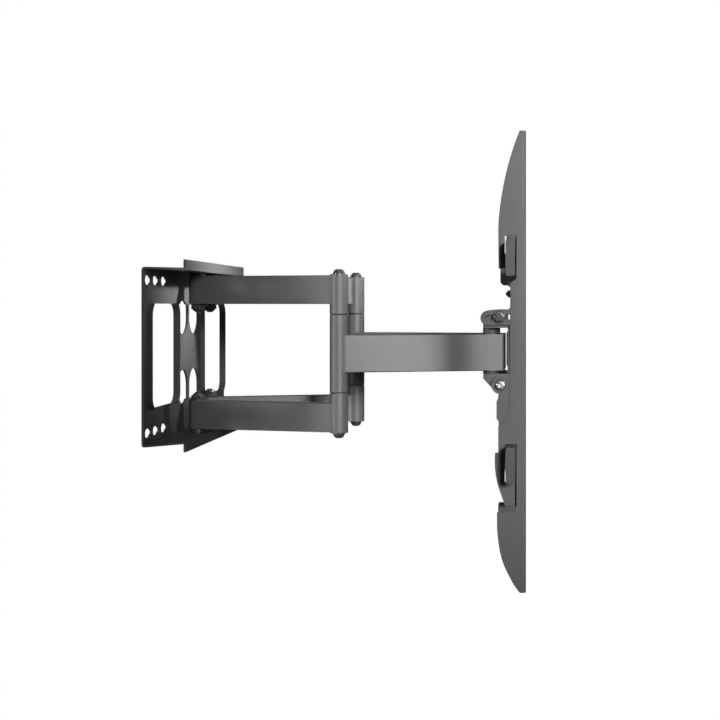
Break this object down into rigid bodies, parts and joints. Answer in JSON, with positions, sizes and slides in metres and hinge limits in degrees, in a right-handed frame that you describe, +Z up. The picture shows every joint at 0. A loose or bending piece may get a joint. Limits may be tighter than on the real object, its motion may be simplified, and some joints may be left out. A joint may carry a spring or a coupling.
{
  "type": "full motion tv wall mount",
  "caption": "Folding-arm television wall mount with a tilting head, horizontal rails and sliding hook-on brackets, shown extended.",
  "frame": {"origin": "centre of the wall plate's back face, on the wall plane", "axes": "+X away from the wall toward the television, Y along the wall with left at -Y, +Z up"},
  "size_m": [0.494, 0.649, 0.5595],
  "materials": {
    "black_steel": "black fine-texture powder coat",
    "arm_steel": "black fine-texture powder coat",
    "black_hardware": "black zinc, satin",
    "zinc_hardware": "bright zinc plate",
    "black_nylon": "matte moulded nylon"
  },
  "bodies": {
    "root": {"wall_plate": "black_steel", "shoulder_bolts": "black_hardware", "shoulder_spacers": "black_hardware", "shoulder_washers": "black_hardware", "shoulder_nuts": "black_hardware"},
    "rear_arm_left": {"rear_upper_tube_left": "arm_steel", "rear_lower_tube_left": "arm_steel", "rear_upper_barrel_left": "arm_steel", "rear_lower_barrel_left": "arm_steel", "shoulder_sleeves_left": "zinc_hardware", "elbow_pin_left": "black_hardware", "elbow_cap_left": "black_hardware"},
    "forearm_left": {"forearm_tube_left": "arm_steel", "forearm_barrel_left": "arm_steel", "forearm_knuckle_left": "arm_steel", "elbow_bushes_left": "black_nylon", "head_bushes_left": "black_nylon"},
    "rear_arm_right": {"rear_upper_tube_right": "arm_steel", "rear_lower_tube_right": "arm_steel", "rear_upper_barrel_right": "arm_steel", "rear_lower_barrel_right": "arm_steel", "shoulder_sleeves_right": "zinc_hardware", "elbow_pin_right": "black_hardware", "elbow_cap_right": "black_hardware"},
    "forearm_right": {"forearm_tube_right": "arm_steel", "forearm_barrel_right": "arm_steel", "forearm_knuckle_right": "arm_steel", "elbow_bushes_right": "black_nylon", "head_bushes_right": "black_nylon"},
    "head": {"head_bracket": "black_steel", "head_bolts": "black_hardware", "head_spacers": "black_nylon", "head_nuts": "black_hardware", "tilt_pivot_bolts": "zinc_hardware", "tilt_pivot_washers": "black_hardware", "tilt_pivot_nuts": "zinc_hardware", "tilt_lock_bolts": "black_hardware", "tilt_lock_washers": "black_hardware", "tilt_lock_nuts": "black_hardware", "tilt_friction_washers": "black_nylon"},
    "tilt_frame": {"tilt_side_left": "black_steel", "tilt_side_right": "black_steel", "tilt_face_plate": "black_steel", "level_screws": "black_hardware", "level_nuts": "black_hardware", "upper_rail": "black_steel", "lower_rail": "black_steel", "rail_end_caps": "black_nylon"},
    "tv_bracket_left": {"tv_bracket_left": "black_steel", "hook_pad_left": "black_nylon", "safety_latch_left": "black_steel", "safety_catch_left": "black_nylon", "safety_screw_left": "black_nylon"},
    "tv_bracket_right": {"tv_bracket_right": "black_steel", "hook_pad_right": "black_nylon", "safety_latch_right": "black_steel", "safety_catch_right": "black_nylon", "safety_screw_right": "black_nylon"}
  },
  "joints": [
    {"name": "left_shoulder", "type": "hinge", "parent": "root", "child": "rear_arm_left", "pos_m": [0.0255, -0.033, 0], "axis": [0, 0, -1], "range_deg": [-8, 70]},
    {"name": "left_elbow", "type": "hinge", "parent": "rear_arm_left", "child": "forearm_left", "pos_m": [0.23519, -0.08606, 0], "axis": [0, 0, 1], "range_deg": [-16, 140]},
    {"name": "left_head_pivot", "type": "hinge", "parent": "forearm_left", "child": "head", "pos_m": [0.44488, -0.033, 0], "axis": [0, 0, -1], "range_deg": [-8, 70]},
    {"name": "right_shoulder", "type": "hinge", "parent": "root", "child": "rear_arm_right", "pos_m": [0.0255, 0.033, 0], "axis": [0, 0, 1], "range_deg": [-8, 70]},
    {"name": "right_elbow", "type": "hinge", "parent": "rear_arm_right", "child": "forearm_right", "pos_m": [0.23519, 0.08606, 0], "axis": [0, 0, -1], "range_deg": [-16, 140]},
    {"name": "tilt", "type": "hinge", "parent": "head", "child": "tilt_frame", "pos_m": [0.4585, 0, -0.0453], "axis": [0, 1, 0], "range_deg": [-6, 8]},
    {"name": "left_bracket_slide", "type": "slide", "parent": "tilt_frame", "child": "tv_bracket_left", "axis": [0, -1, 0], "range_m": [-0.181, 0.019]},
    {"name": "right_bracket_slide", "type": "slide", "parent": "tilt_frame", "child": "tv_bracket_right", "axis": [0, 1, 0], "range_m": [-0.181, 0.019]}
  ],
  "couplings": [
    {"joint": "left_elbow", "follows": "left_shoulder", "ratio": 2},
    {"joint": "left_head_pivot", "follows": "left_shoulder", "ratio": 1},
    {"joint": "right_shoulder", "follows": "left_shoulder", "ratio": 1},
    {"joint": "right_elbow", "follows": "left_shoulder", "ratio": 2}
  ]
}
